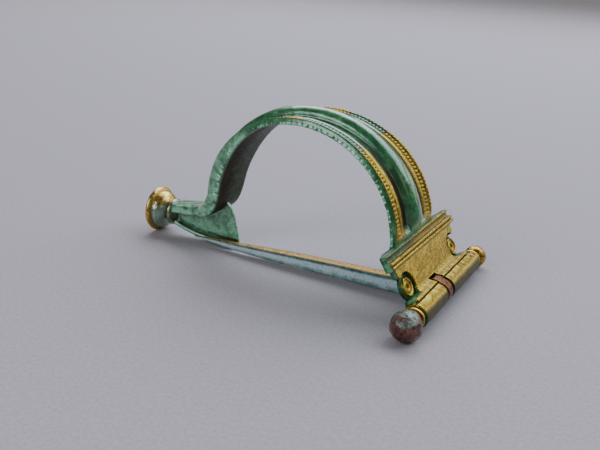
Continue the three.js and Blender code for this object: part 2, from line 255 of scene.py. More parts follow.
def agedBronze(look):
    # One family for the cast, turned and drawn copper alloys: bare metal where the painted wear is
    # high, a mineral patina where it is low, an olive film between the two, and grime and painted shade in
    # the hollows
    material, tree = newMaterial(look["name"])
    place = addNode(tree, "TexCoord").outputs["Object"]
    wearAndPaintedLight, grimeAndShade, pale = (addNode(tree, "Attribute", {"attribute_name": name}).outputs["Fac"]
                         for name in ("wearAndPaintedLight", "grimeAndShade", "pale"))
    mottle, fine, grain = (
        addNode(tree, "TexNoise", {"Scale": scaleFor(look[size]), "Detail": detail, "Roughness": rough},
                {"Vector": place}).outputs["Fac"]
        for size, detail, rough in (
            ("mottleSize", 5.0, 0.6), ("fineSize", 3.0, 0.6), ("grainSize", 2.0, 0.5)))
    fineMiddle = addNode(tree, "Math", {"operation": "SUBTRACT", 1: 0.5}, {0: fine}).outputs[0]

    patina = addNode(tree, "ValToRGB", links={"Fac": mottle})
    setRamp(patina, look["patina"])
    flecks = addNode(tree, "MapRange", {"From Min": 0.3, "From Max": 0.6, "To Min": 0.45}, {"Value": fine})
    flecks = addNode(tree, "Math", {"operation": "MULTIPLY"}, {0: pale, 1: flecks.outputs[0]})
    start, end = aged["paleRange"]
    flecks = addNode(tree, "MapRange", {"From Min": start, "From Max": end, "To Max": aged["paleMost"]},
                     {"Value": flecks.outputs[0]})
    colour = addNode(tree, "Mix", {"data_type": "RGBA", 7: look["pale"]},
                     {0: flecks.outputs[0], 6: patina.outputs["Color"]}).outputs[2]

    # the edge of the bare metal is broken up by the two larger noises
    broken = addNode(tree, "Math", {"operation": "MULTIPLY_ADD", 1: look["mottleBreak"]},
                     {0: mottle, 2: wearAndPaintedLight}).outputs[0]
    broken = addNode(tree, "Math", {"operation": "MULTIPLY_ADD", 1: look["fineBreak"]},
                     {0: fine, 2: broken}).outputs[0]
    offset = (look["mottleBreak"] + look["fineBreak"]) / 2
    olive, bare = (
        addNode(tree, "MapRange", {"From Min": start + offset, "From Max": end + offset},
                {"Value": broken}).outputs[0]
        for start, end in (aged["oliveRange"], aged["bareRange"]))
    metal = addNode(tree, "ValToRGB", links={"Fac": fine})
    setRamp(metal, look["metal"])
    dirtAndShade = addNode(tree, "Math", {"operation": "MULTIPLY_ADD", 1: aged["grimeShadeBreak"]},
                   {0: fineMiddle, 2: grimeAndShade}).outputs[0]
    start, end = aged["grimeShadeRange"]
    dirtAndShade = addNode(tree, "MapRange", {"From Min": start, "From Max": end, "To Max": aged["grimeShadeMost"]},
                   {"Value": dirtAndShade}).outputs[0]
    colour = addNode(tree, "Mix", {"data_type": "RGBA", 7: look["olive"]}, {0: olive, 6: colour}).outputs[2]
    colour = addNode(tree, "Mix", {"data_type": "RGBA"},
                     {0: bare, 6: colour, 7: metal.outputs["Color"]}).outputs[2]
    colour = addNode(tree, "Mix", {"data_type": "RGBA", 7: look["grimeAndShade"]}, {0: dirtAndShade, 6: colour}).outputs[2]

    clean = addNode(tree, "Math", {"operation": "MULTIPLY_ADD", 1: -aged["grimeShadeDulls"], 2: 1.0},
                    {0: dirtAndShade}).outputs[0]
    metallic = addNode(tree, "MapRange", {"To Min": look["patinaMetallic"], "To Max": 1.0},
                       {"Value": bare}).outputs[0]
    metallic = addNode(tree, "Math", {"operation": "MULTIPLY"}, {0: metallic, 1: clean}).outputs[0]
    rough = addNode(tree, "MapRange", {"To Min": look["patinaRoughness"],
                    "To Max": look["metalRoughness"]}, {"Value": bare}).outputs[0]
    for amount, share in ((aged["fineRoughens"], fineMiddle), (aged["grimeShadeRoughens"], dirtAndShade)):
        rough = addNode(tree, "Math", {"operation": "MULTIPLY_ADD", 1: amount},
                        {0: share, 2: rough}).outputs[0]
    relief = addNode(tree, "Bump", {"Strength": look["grainStrength"], "Distance": aged["grainRelief"] * mm},
                     {"Height": grain}).outputs[0]
    relief = addNode(tree, "Bump", {"Strength": look["fineStrength"], "Distance": aged["fineRelief"] * mm},
                     {"Height": fine, "Normal": relief}).outputs[0]
    dull = addNode(tree, "Math", {"operation": "MAXIMUM"}, {0: dirtAndShade, 1: bare}).outputs[0]
    wax = addNode(tree, "MapRange", {"To Min": look["waxCoat"], "To Max": 0.0}, {"Value": dull}).outputs[0]
    glossClean, glossGrimeShade = aged["gloss"]
    gloss = addNode(tree, "MapRange", {"To Min": glossClean, "To Max": glossGrimeShade},
                    {"Value": dirtAndShade}).outputs[0]
    shader = addNode(tree, "BsdfPrincipled", {"Coat Roughness": aged["coatRoughness"]}, {
        "Base Color": colour, "Metallic": metallic, "Roughness": rough, "Normal": relief,
        "Coat Weight": wax, "Specular IOR Level": gloss})
    addNode(tree, "OutputMaterial", links={"Surface": shader.outputs[0]})
    return material


def setRamp(node, stops):
    ramp = node.color_ramp
    while len(ramp.elements) < len(stops):
        ramp.elements.new(0.5)
    for element, (position, hexColour) in zip(ramp.elements, stops):
        element.position = position
        element.color = toLinear(hexColour)


# Cast bronze, long buried: a smooth malachite patina with a waxy gloss, rubbed to gold on the ridges
castBronze = {
    "name": "castBronzeMalachitePatina",
    "mottleSize": 1.6, "fineSize": 0.3, "grainSize": 0.1,   # mm
    "patina": [(0.25, "#14401f"), (0.45, "#28683a"), (0.62, "#428a53"), (0.8, "#82be88")],
    "pale": "#8fcfa5", "olive": "#5c5712",
    "metal": [(0.3, "#6f5b0e"), (0.5, "#9d8422"), (0.7, "#c9b152")],
    "grimeAndShade": "#2b1807",
    "mottleBreak": 0.35, "fineBreak": 0.35,
    "patinaMetallic": 0.25, "patinaRoughness": 0.3, "metalRoughness": 0.32,
    "waxCoat": 1.0,
    "grainStrength": 0.25, "fineStrength": 0.3,
}

# The head plate and hinge tube of the same casting, rubbed bare: satin gold with a brown film
satinBronze = {
    **castBronze,
    "name": "castBronzeRubbedSatin",
    "mottleSize": 2.2, "fineSize": 0.45, "grainSize": 0.14,
    "metal": [(0.25, "#7e6a14"), (0.5, "#9a8322"), (0.75, "#b8a146")],
    "grimeAndShade": "#1e1604",
    "mottleBreak": 0.18, "fineBreak": 0.1,
    "metalRoughness": 0.27,
    "waxCoat": 0.1,
    "grainStrength": 0.2, "fineStrength": 0.2,
}

# Turned brass of the foot knob: worn to pale gold on the rim, grey-green on the bulb
turnedBrass = {
    **castBronze,
    "name": "turnedBrassWorn",
    "mottleSize": 1.8, "fineSize": 0.3,
    "patina": [(0.3, "#66806a"), (0.5, "#86a18a"), (0.7, "#a9bda8")],
    "pale": "#bccdbc", "olive": "#7d7440",
    "metal": [(0.3, "#b08a34"), (0.5, "#cba752"), (0.7, "#e2c880")],
    "grimeAndShade": "#1b170a",
    "mottleBreak": 0.2, "fineBreak": 0.15,
    "patinaMetallic": 0.7, "patinaRoughness": 0.2, "metalRoughness": 0.28,
    "waxCoat": 0.6,
}

# Drawn and hammered pin: pale blue-green patina on its sides with a painted highlight band, rubbed golden
# along its upper edge
hammeredPin = {
    **castBronze,
    "name": "hammeredBronzePin",
    "mottleSize": 1.2, "fineSize": 0.25,
    "patina": [(0.3, "#4d7f70"), (0.5, "#8fb8b0"), (0.68, "#b8d6d4"), (0.8, "#d6e8ec")],
    "pale": "#d2e6e8", "olive": "#4d4d1c",
    "metal": [(0.3, "#664812"), (0.5, "#8e6a26"), (0.7, "#b28e46")],
    "grimeAndShade": "#23301f",
    "waxCoat": 0.5,
    "patinaMetallic": 0.3, "patinaRoughness": 0.3, "metalRoughness": 0.3,
}

# The pin's round head: a copper-rich bronze, rubbed by the hinge to a reddish brown
redBronze = {
    **castBronze,
    "name": "rubbedCopperRedBronze",
    "patina": [(0.3, "#241208"), (0.5, "#3f2413"), (0.75, "#5a3a22")],
    "pale": "#9a7a60", "olive": "#4a2e18",
    "metal": [(0.3, "#3a2010"), (0.5, "#643a1a"), (0.7, "#946038")],
    "grimeAndShade": "#100805",
    "waxCoat": 0.2,
    "metalRoughness": 0.3,
}

# The axle's near ball: bronze under a skin of rust that has bled from the iron axle, pitted and glossy
rustSkin = {
    **castBronze,
    "name": "rustStainedBronze",
    "mottleSize": 1.1, "fineSize": 0.3, "grainSize": 0.12,
    "patina": [(0.3, "#2a120a"), (0.48, "#5c2c1e"), (0.62, "#7f4837"), (0.8, "#a07262")],
    "pale": "#9aa79a", "olive": "#5c6658",
    "metal": [(0.3, "#6f7a6c"), (0.5, "#8f9a8a"), (0.7, "#b9bfae")],
    "grimeAndShade": "#1d100b",
    "patinaMetallic": 0.15, "patinaRoughness": 0.24, "metalRoughness": 0.32,
    "waxCoat": 0.5,
    "grainStrength": 0.6, "fineStrength": 0.9,
}

# The far ball: brass gone brown, rubbed to gold on its outside
brownBrass = {
    **castBronze,
    "name": "brownedBrass",
    "patina": [(0.3, "#3d2a10"), (0.5, "#6b4d20"), (0.75, "#8d6b35")],
    "pale": "#a98750", "olive": "#6a5222",
    "metal": [(0.3, "#7f5c16"), (0.5, "#a67e2c"), (0.7, "#cfae5c")],
    "grimeAndShade": "#1c1206",
    "waxCoat": 0.1,
    "patinaMetallic": 0.8, "patinaRoughness": 0.3, "metalRoughness": 0.28,
}

# Thin washers, cut from brass sheet
sheetBrass = {
    **brownBrass,
    "name": "cutSheetBrass",
    "metal": [(0.3, "#9a7a26"), (0.5, "#c09a44"), (0.7, "#dfc272")],
    "metalRoughness": 0.3,
}

# Forged iron of the axle, rusted brown
rustedIron = {
    **castBronze,
    "name": "forgedIronRusted",
    "patina": [(0.3, "#2a140c"), (0.5, "#5a3020"), (0.75, "#7e4c33")],
    "pale": "#8c6650", "olive": "#4a2c1c",
    "metal": [(0.3, "#3c3836"), (0.5, "#56504c"), (0.7, "#706862")],
    "grimeAndShade": "#140b07",
    "waxCoat": 0.0,
    "patinaMetallic": 0.1, "patinaRoughness": 0.75, "metalRoughness": 0.5,
    "fineStrength": 0.9,
}


def floorCloth():
    # plain matt backdrop paper: an even pale tone with a faint tooth
    material, tree = newMaterial("mattBackdropPaper")
    place = addNode(tree, "TexCoord").outputs["Object"]
    tooth = addNode(tree, "TexNoise", {"Scale": scaleFor(0.5), "Detail": 2.0}, {"Vector": place})
    colour = addNode(tree, "ValToRGB", links={"Fac": tooth.outputs["Fac"]})
    setRamp(colour, [(0.3, "#a6a0a2"), (0.7, "#b2acae")])
    relief = addNode(tree, "Bump", {"Strength": 0.15, "Distance": 0.1 * mm},
                     {"Height": tooth.outputs["Fac"]})
    shader = addNode(tree, "BsdfPrincipled", {"Roughness": 0.85, "Specular IOR Level": 0.2}, {
        "Base Color": colour.outputs["Color"], "Normal": relief.outputs[0]})
    addNode(tree, "OutputMaterial", links={"Surface": shader.outputs[0]})
    return material


finishes = (castBronze, satinBronze, turnedBrass, hammeredPin, redBronze, rustSkin, brownBrass, sheetBrass,
            rustedIron)
materials = {look["name"]: agedBronze(look) for look in finishes}
print("materials made:", len(materials))


# Bow: one strip from the head plate over the arch and down into the flat foot

bow = {
    "centre": (2.75, 8.6), "radii": (16.0, 14.85),       # the arch's underside, x and z
    "fromAngle": -7.0, "toAngle": 166.0,
    "footLine": [(-13.12, 10.6), (-13.3, 9.4), (-13.75, 8.1), (-14.6, 6.75), (-15.9, 5.6),
                 (-17.4, 4.98), (-19.0, 4.68), (-20.9, 4.48), (-22.8, 4.3)],
    "halfWidthHead": 6.9, "halfWidthFoot": 3.9,
    "footWidths": [(-22.8, 2.0), (-20, 2.35), (-18, 2.8), (-16, 3.3), (-14.3, 3.75), (-13, 3.95)],
    "ringSpacing": 0.072,
    "barPitch": 0.6,          # milled rows, measured along the row
    "barHeight": 0.3,
    "notchPitch": 0.85, "notchDepth": 0.22,
    "plainHeight": 1.3, "footHeight": 1.4,
    "legThickening": 1.15, "farFlare": 0.16, "nearFlare": 0.05,
    "carved": (4, 10, 168, 180),             # arch angles where the carving starts and dies out
    "row": (0.705, 0.745, 0.83, 0.868),      # the milled row, in shares of the half width
    "legAngles": (112, 158), "legEnd": (-17.6, -14.0),
    "flareAngles": (40, 150),
    "dents": [(2.6, 0.035, 1), (0.9, 0.018, 2), (0.3, 0.008, 3)],   # lump size, height, seed
    # how far each side is worn to metal, and how dark the painted shade in the flutes is, by angle round the
    # arch
    "nearWear": [(-7, 0.5), (2, 0.55), (6, 0.95), (46, 1), (53, 0.7), (59, 0.3), (88, 0.26), (92, 0.95),
                 (98, 0.9), (103, 0.4), (116, 0.2), (180, 0.12)],
    "farWear": [(-7, 0.9), (50, 1), (56, 0.85), (60, 0.32), (78, 0.28), (82, 0.9), (104, 0.9), (110, 0.42),
                (120, 0.2), (180, 0.12)],
    "fluteShade": [(-7, 0.9), (30, 1.0), (50, 0.7), (75, 0.45), (120, 0.4), (180, 0.4)],
}

# half of the section: u is a share of the half width and v a height above the underside
ribHalfWidth, ribFoot, ribHeight = 0.27, 0.78, 1.32
ribCurve = [(ribHalfWidth * math.sin(a), ribFoot + ribHeight * math.cos(a))
            for a in np.radians(np.linspace(0, 90, 12))]
sectionHalf = np.array(ribCurve + [
    (0.285, 0.65), (0.31, 0.58), (0.37, 0.56), (0.44, 0.56), (0.5, 0.6), (0.52, 0.7),
    (0.54, 0.82), (0.56, 0.9), (0.59, 0.94), (0.63, 0.95), (0.665, 0.93), (0.69, 0.88), (0.705, 0.8),
    (0.72, 0.71), (0.735, 0.7), (0.75, 0.7), (0.765, 0.7), (0.78, 0.7), (0.795, 0.7), (0.81, 0.7),
    (0.825, 0.7), (0.84, 0.7), (0.855, 0.72), (0.865, 0.85), (0.875, 0.98), (0.885, 1.07), (0.9, 1.12),
    (0.918, 1.12), (0.934, 1.07), (0.948, 0.96), (0.96, 0.82), (0.972, 0.66), (0.982, 0.5), (0.991, 0.34),
    (0.998, 0.22), (1.0, 0.14), (0.992, 0.07), (0.96, 0.02), (0.88, 0.0), (0.76, 0.0), (0.62, 0.0),
    (0.48, 0.0), (0.32, 0.0), (0.16, 0.0), (0.0, 0.0)])


def bowLine(shape):
    (cx, cz), (rx, rz) = shape["centre"], shape["radii"]
    angles = np.radians(np.arange(shape["fromAngle"], shape["toAngle"], 0.25))
    arch = np.stack([cx + rx * np.cos(angles), cz + rz * np.sin(angles)], 1)
    line, _ = resample(np.vstack([arch, shape["footLine"]]), 0.05)
    foot = line[:, 0] < -12.2
    for _ in range(500):  # rounds the corners of the foot's line
        eased = line.copy()
        eased[1:-1] = line[:-2] * 0.25 + line[1:-1] * 0.5 + line[2:] * 0.25
        line = np.where(foot[:, None], eased, line)
    line, along = resample(line, shape["ringSpacing"])
    tangent = np.gradient(line, axis=0)
    tangent /= np.linalg.norm(tangent, axis=1)[:, None]
    outward = np.stack([tangent[:, 1], -tangent[:, 0]], 1)
    angle = np.degrees(np.arctan2((line[:, 1] - cz) / rz, (line[:, 0] - cx) / rx))
    angle = np.where(angle < -90, angle + 360, angle)
    return line, outward, angle, along


def buildBow(shape):
    line, outward, angle, along = bowLine(shape)
    half = sectionHalf
    ring = np.vstack([half * [-1, 1], half[-2:0:-1]])       # near side first, then the far side
    u, v = ring[:, 0][None, :], ring[:, 1][None, :]
    side = np.abs(u)
    isTop = (v > 0.5) & (side < 0.95)

    def byAngle(name):
        return np.interp(angle, *np.array(shape[name]).T)[:, None]

    widths = np.array(shape["footWidths"])
    headWidth = shape["halfWidthHead"]
    archWidth = headWidth + (shape["halfWidthFoot"] - headWidth) * np.clip(angle / 180, 0, 1)
    footWidth = np.interp(line[:, 0], widths[:, 0], widths[:, 1])
    inFoot = smooth(angle, 172, 182)
    width = (archWidth * (1 - inFoot) + footWidth * inFoot)[:, None]

    # the carving dies out just above the head plate and at the start of the foot
    carved = (within(angle, *shape["carved"]))[:, None]
    archHeight = shape["plainHeight"]
    plain = (archHeight + (shape["footHeight"] - archHeight) * smooth(angle, 168, 184))[:, None]
    plainTop = plain * (1 - 0.1 * u * u - 0.25 * smooth(side, 0.8, 1.0))
    plainSide = plain * np.clip(v / 1.25, 0, 1) ** 0.8
    height = np.where(isTop, plainTop, np.minimum(plainTop, plainSide)) * (1 - carved) + v * carved

    # milled rows: bars across the row, dished and a little uneven
    def alongLumps(distance, size, seed, across=0.0):
        return lumps(np.stack([distance, along * 0 + across, along * 0], 1), size, seed)

    wobble = alongLumps(along, 4.0, 3) * 0.15
    rowLength = along * 1.05
    phase = rowLength / shape["barPitch"] + wobble
    uneven = alongLumps(np.floor(phase) * 3.1, 1.0, 5)
    bar = 1 - (1 - np.abs(np.sin(phase * math.pi))) ** 2.2
    barShape = (bar * (0.85 + 0.15 * uneven))[:, None]
    barShape = barShape * within(side, *shape["row"])
    height = height + carved * barShape * shape["barHeight"] * (v < 0.9) * isTop
    edgeNick = (0.5 + 0.5 * np.cos(phase * 2 * math.pi))[:, None] ** 3
    onRidge = np.exp(-((side - 0.905) / 0.018) ** 2)
    height = height - carved * edgeNick * onRidge * 0.1 * isTop

    # chipped, notched lower edges
    chips = alongLumps(along, 1.1, 8, 0.5)
    notchTurn = along / shape["notchPitch"] * 2 * math.pi
    notch = np.clip(np.cos(notchTurn + chips * 3.0), 0, 1) ** 2.5
    notchFar = np.clip(np.cos(notchTurn + 2 + chips[::-1] * 1.5), 0, 1) ** 2.5
    notch = np.where(u < 0, (notch * (0.35 + 0.65 * np.abs(chips)))[:, None], (notchFar * 0.5)[:, None])
    atEdge = smooth(side, 0.968, 0.996) * (v < 0.45)
    bite = notch * atEdge * shape["notchDepth"] * (1 - inFoot[:, None])
    spread = 1 - bite / width
    height = height + bite * 0.5

    # the leg grows thicker inwards on its way down to the foot
    extra = shape["legThickening"] * smooth(angle, *shape["legAngles"]) * smooth(line[:, 0], *shape["legEnd"])
    height = height - extra[:, None] * (1 - smooth(v, 0.0, 0.9))
    flare = 1 - smooth(angle, *shape["flareAngles"])[:, None]
    across = u * width * spread * (1 + flare * np.where(u > 0, shape["farFlare"], shape["nearFlare"]))
    x = line[:, 0][:, None] + outward[:, 0][:, None] * height
    z = line[:, 1][:, None] + outward[:, 1][:, None] * height
    points = np.stack([x, across, z], -1)
    ringCount, ringSize = points.shape[:2]
    points = points.reshape(-1, 3)

    # the strip's root lies inside the head plate: nothing of it shows behind the plate
    s, h = toPlate(points)
    limit = -1.62 - 0.4 * np.clip((-1.2 - s) / 0.7, 0, 1)
    tucked = (s > -1.9) & (h < limit)
    points[tucked] = fromPlate(s[tucked], limit[tucked], points[tucked, 1])

    piece = makePiece("bowStrip", points, ringFaces(ringCount, ringSize))
    roughen(piece, shape["dents"])

    # rubbed to metal on the two carved bands
    band = within(side, 0.5, 0.56, 0.93, 0.96) * isTop
    wearAndPaintedLight = np.where(u < 0, byAngle("nearWear"), byAngle("farWear")) * band
    wearAndPaintedLight = wearAndPaintedLight * (0.3 + 0.7 * smooth(angle, 1, 7))[:, None]

    # darker between the bars and a little on the inner ridges; painted shade in the flutes, along the far
    # foot of the rib and under the strip
    inRow = within(side, 0.7, 0.74, 0.84, 0.87) * isTop
    pit = inRow * (1 - bar[:, None]) * carved
    flute = within(side, 0.27, 0.31, 0.48, 0.53) * isTop * carved
    under = (v < 0.02) * (side < 0.97)
    innerRidge = within(side, 0.49, 0.52, 0.56, 0.6) * isTop * carved
    # painted shade in the flutes, by angle round the arch
    grimeAndShade = np.maximum(np.maximum(pit, flute * byAngle("fluteShade")), innerRidge * 0.4)
    wearAndPaintedLight = wearAndPaintedLight * (1 - 0.22 * inRow)
    # painted shade under the strip, darkest on the near side, over a brown film
    grimeAndShade = np.maximum(grimeAndShade, np.maximum(under * (0.8 + 0.15 * smooth(u, 0.5, -0.6)), inRow * 0.2))
    wearAndPaintedLight = np.maximum(wearAndPaintedLight, under * 0.2)
    # painted shade along the far foot of the rib
    grimeAndShade = np.maximum(grimeAndShade, 0.6 * smooth(u, 0.13, 0.24) * (side < 0.3) * carved)

    # pale flecks on the lower edges, partly mineral crust and partly painted glints on the notches; pale
    # mineral crust on the leg and the foot
    spots = (lumps(points, 0.55, 37) + 0.6 * lumps(points, 1.6, 38)).reshape(grimeAndShade.shape)
    legFace = smooth(side, 0.9, 0.94) * smooth(angle, 100, 140)[:, None] * (v > 0.02)
    onFoot = inFoot[:, None] * (v > 0.02)
    pale = (atEdge * smooth(spots, -0.3, 0.3) * 1.2 + legFace * (0.45 + 0.35 * spots)
            + onFoot * (0.4 + 0.5 * spots))
    finishPiece(piece, "brooch", "castBronzeMalachitePatina", "bow", 50,
                wearAndPaintedLight.ravel(), grimeAndShade.ravel(), pale.ravel())


# Head plate: y across, s down its face from the double moulding, h out of its face

plate = {
    "lean": 31.0, "hinge": (25.15, 2.1), "hingeS": 7.62, "hingeH": 0.27,
    "thickness": 1.7,
    "outline": [(-1.35, 12.15), (-1.25, 12.3), (0.9, 12.3), (1.0, 11.5), (1.15, 11.3), (2.1, 11.15),
                (2.38, 10.75)],   # s, half width
    "belowEyes": [(5.62, 10.5), (5.72, 10.8), (7.3, 10.8)],
    "eye": {"y": 9.3, "s": 4.0, "recess": 2.05, "depth": 0.62, "backRadius": 1.75,
            "pellet": 1.42, "rise": 0.42, "dish": 0.1, "ring": 0.92, "ringDepth": 0.16,
            "pit": 0.42, "pitDepth": 0.28},
    "mouldings": [(-1.17, 0.14, 0.14), (-0.02, 0.31, 0.5), (0.57, 0.31, 0.5)],   # s, half width, height
    "groove": (-0.68, 0.36, 0.2),
    "lip": {"start": 4.7, "crest": 5.93, "height": 1.08},
    "edgeThickness": 0.95, "edgeDepth": 2.6,
    "slot": {"y": -1.95, "width": 2.7, "topZ": 4.2, "reach": 5.5},
    "rounding": 0.14, "dents": [(2.2, 0.03, 4), (0.7, 0.015, 5), (0.25, 0.006, 6)],
}
lean = math.radians(plate["lean"])
plateDown = np.array([math.sin(lean), -math.cos(lean)])      # in x and z
plateOut = np.array([math.cos(lean), math.sin(lean)])
plateOrigin = np.array(plate["hinge"]) - plateDown * plate["hingeS"] - plateOut * plate["hingeH"]


def toPlate(points):
    offset = points[:, [0, 2]] - plateOrigin
    return offset @ plateDown, offset @ plateOut


def fromPlate(s, h, y):
    flat = plateOrigin + s[:, None] * plateDown + h[:, None] * plateOut
    return np.stack([flat[:, 0], y, flat[:, 1]], 1)


def plateWidth(s):
    eye = plate["eye"]
    angles = np.radians(np.linspace(-66, 66, 25))
    reach = eye["backRadius"]
    bulge = np.stack([eye["s"] + reach * np.sin(angles), eye["y"] + reach * np.cos(angles)], 1)
    table = np.vstack([plate["outline"], bulge, plate["belowEyes"]])
    return np.interp(s, table[:, 0], table[:, 1])


def ridge(value, middle, halfWidth, height):
    # a rounded moulding
    return height * np.sqrt(np.clip(1 - ((value - middle) / halfWidth) ** 2, 0, 1)) ** 1.1


def plateFace(y, s):
    eye, lip = plate["eye"], plate["lip"]
    face = np.zeros_like(y)
    for middle, halfWidth, height in plate["mouldings"]:
        face = np.maximum(face, ridge(s, middle, halfWidth, height))
    middle, halfWidth, depth = plate["groove"]
    face = face - ridge(s, middle, halfWidth, depth)
    edge = np.abs(y)
    radius = np.hypot(edge - eye["y"], s - eye["s"])
    inRecess = 1 - smooth(radius, eye["recess"] - 0.1, eye["recess"] + 0.04)
    floorLevel = -eye["depth"]
    pellet = floorLevel + eye["rise"] * (1 - smooth(radius, eye["pellet"] - 0.12, eye["pellet"] + 0.06))
    pellet = pellet - eye["ringDepth"] * np.exp(-((radius - eye["ring"]) / 0.11) ** 2)
    pellet = pellet - eye["dish"] * (1 - smooth(radius, eye["pellet"] * 0.45, eye["pellet"] * 0.78))
    pellet = pellet - eye["pitDepth"] * (1 - smooth(radius, eye["pit"] * 0.5, eye["pit"] * 1.15))
    face = face * (1 - inRecess) + pellet * inRecess
    rise = lip["height"] * smooth(s, lip["start"], lip["crest"]) ** 2.4
    rise = rise - 0.3 * smooth(s, lip["crest"] + 0.03, lip["crest"] + 0.16)
    onLip = smooth(s, 5.5, 5.62)
    return face * (1 - onLip) + rise * np.maximum(onLip, radius > eye["recess"])


def buildHeadPlate(shape):
    # rows lie closer together over the mouldings and the lip
    rows = np.concatenate([
        np.arange(-1.38, 1.2, 0.05), np.arange(1.2, 5.6, 0.085), np.arange(5.6, 6.51, 0.04)])
    columns = np.linspace(-1, 1, 301)
    backColumns = np.linspace(1, -1, 61)
    rings = []
    for s in rows:
        width = float(plateWidth(s))
        y = columns * width
        h = plateFace(y, np.full_like(y, s))
        margin = width - np.abs(y)
        rounding = shape["rounding"]
        h = h - rounding * (1 - np.sqrt(np.clip(1 - np.clip(1 - margin / rounding, 0, 1) ** 2, 0, 1)))
        if s < -1.2:
            h = h - 0.15 * (1 - math.sqrt(1 - min(1, (-1.2 - s) / 0.18) ** 2))
        fromEdge = np.clip((width - np.abs(backColumns * width)) / shape["edgeDepth"], 0, 1)
        edge, middle = shape["edgeThickness"], shape["thickness"]
        back = -(edge + (middle - edge) * smooth(fromEdge, 0, 1))
        back = back * (1 - smooth(s, 5.7, 6.5)) - 1.1 * smooth(s, 5.7, 6.5)
        front = np.stack([y, h], 1)
        sideSteps = np.linspace(0, 1, 8)[1:-1]
        right = np.stack([np.full(6, width), h[-1] + (back[0] - h[-1]) * sideSteps], 1)
        left = np.stack([np.full(6, -width), back[-1] + (h[0] - back[-1]) * sideSteps], 1)
        behind = np.stack([backColumns * width, back], 1)
        outline = np.vstack([front, right, behind, left])
        rings.append(fromPlate(np.full(len(outline), s), outline[:, 1], outline[:, 0]))
    points = np.array(rings)
    piece = makePiece("headPlate", points.reshape(-1, 3), ringFaces(*points.shape[:2]))
    slot = shape["slot"]
    x0, x1 = shape["hinge"][0] - slot["reach"], shape["hinge"][0] + 4
    y0, y1 = slot["y"] - slot["width"] / 2, slot["y"] + slot["width"] / 2
    box = np.array([(x, y, z) for x in (x0, x1) for y in (y0, y1) for z in (-2, slot["topZ"])])
    boxFaces = [[0, 1, 3, 2], [4, 6, 7, 5], [0, 4, 5, 1], [2, 3, 7, 6], [0, 2, 6, 4], [1, 5, 7, 3]]
    cutAway(piece, makePiece("slotCutter", box, boxFaces))
    roughen(piece, shape["dents"])

    points = pointsOf(piece)
    normals = normalsOf(piece)
    s, h = toPlate(points)
    y = points[:, 1]
    eye = shape["eye"]
    radius = np.hypot(np.abs(y) - eye["y"], s - eye["s"])
    facing = normals[:, [0, 2]] @ plateOut
    wearAndPaintedLight = 0.85 * smooth(facing, 0.1, 0.6) + 0.15
    # painted shade in the groove under the top moulding, with less wear there, most on the near side
    inGroove = within(s, -1.02, -0.9, -0.42, -0.32)
    wearAndPaintedLight = wearAndPaintedLight - inGroove * (0.2 + 0.6 * (1 - smooth(y, -9, 2)))
    wearAndPaintedLight = wearAndPaintedLight - 0.75 * (1 - smooth(s, -1.3, -1.0)) * (1 - smooth(y, -6, 6))
    wearAndPaintedLight = wearAndPaintedLight * (1 - 0.8 * smooth(-h, 0.3, 0.5) * (radius > eye["pellet"]))
    # painted shade in the grooves beside the mouldings, round the pellets in the eye recesses and on the back
    # face; darker in the pellets' pits and rings and where the plate runs into the tube
    grimeAndShade = 0.55 * inGroove
    grimeAndShade = np.maximum(grimeAndShade, 0.3 * (1 - smooth(np.abs(s - 0.275), 0.02, 0.08)) * (h < 0.42))
    grimeAndShade = np.maximum(grimeAndShade, 0.55 * (1 - smooth(np.abs(s - 0.98), 0.03, 0.14)))
    grimeAndShade = np.maximum(grimeAndShade, 0.66 * smooth(radius, eye["pellet"] - 0.05, eye["pellet"] + 0.12)
                       * (1 - smooth(radius, eye["recess"] - 0.05, eye["recess"] + 0.1)) * (h < -0.12))
    grimeAndShade = np.maximum(grimeAndShade, 0.75 * (1 - smooth(radius, 0.2, 0.5)) * (h < -0.3))
    grimeAndShade = np.maximum(grimeAndShade, 0.5 * (1 - smooth(np.abs(radius - eye["ring"]), 0.04, 0.16)) * (h < -0.1))
    grimeAndShade = np.maximum(grimeAndShade, 0.7 * smooth(s, 5.98, 6.06))
    grimeAndShade = np.maximum(grimeAndShade, 0.5 * (h < -shape["edgeThickness"] + 0.05))
    pale = 0.45 * (y < -10) * (1 - smooth(facing, 0.1, 0.5)) * (h > -0.6)
    finishPiece(piece, "brooch", "castBronzeRubbedSatin", "bow", 45, wearAndPaintedLight, grimeAndShade, pale)


# Rolled hinge tube, in two lengths with the pin's slot between them

slotNear = plate["slot"]["y"] - plate["slot"]["width"] / 2
slotFar = plate["slot"]["y"] + plate["slot"]["width"] / 2

tube = {"radius": 1.75, "bore": 1.05, "halfLength": 11.9, "sides": 144, "step": 0.13,
        "seam": (61.0, 72.0), "seamDepth": 0.24,   # degrees round the tube, from the plate's normal
        "dents": [(2.4, 0.04, 7), (0.8, 0.018, 8), (0.25, 0.006, 9)], "rounding": 0.18}


def lathe(profile, centre, axis, sides):
    # turns a profile of (radius, distance along the axis) round a line through centre
    profile = np.array(profile)
    turn = np.linspace(0, 2 * math.pi, sides, endpoint=False)
    radius, along = profile[:, 0][:, None], profile[:, 1][:, None] + 0 * turn
    first, second = radius * np.cos(turn), radius * np.sin(turn)
    if axis == "y":
        return np.stack([centre[0] + first, centre[1] + along, centre[2] + second], -1)
    return np.stack([centre[0] + along, centre[1] + first, centre[2] + second], -1)


def turnPiece(name, profile, centre, axis, sides, dents, joinEnds=False):
    rings = lathe(profile, centre, axis, sides)
    piece = makePiece(name, rings.reshape(-1, 3), ringFaces(*rings.shape[:2], joinEnds=joinEnds))
    roughen(piece, dents)
    return piece


def fromPlateNormal(offset):
    # degrees round the tube, counted from the direction that the plate faces
    angle = np.degrees(np.arctan2(offset[..., 2], offset[..., 0])) - plate["lean"]
    return (angle + 180) % 360 - 180


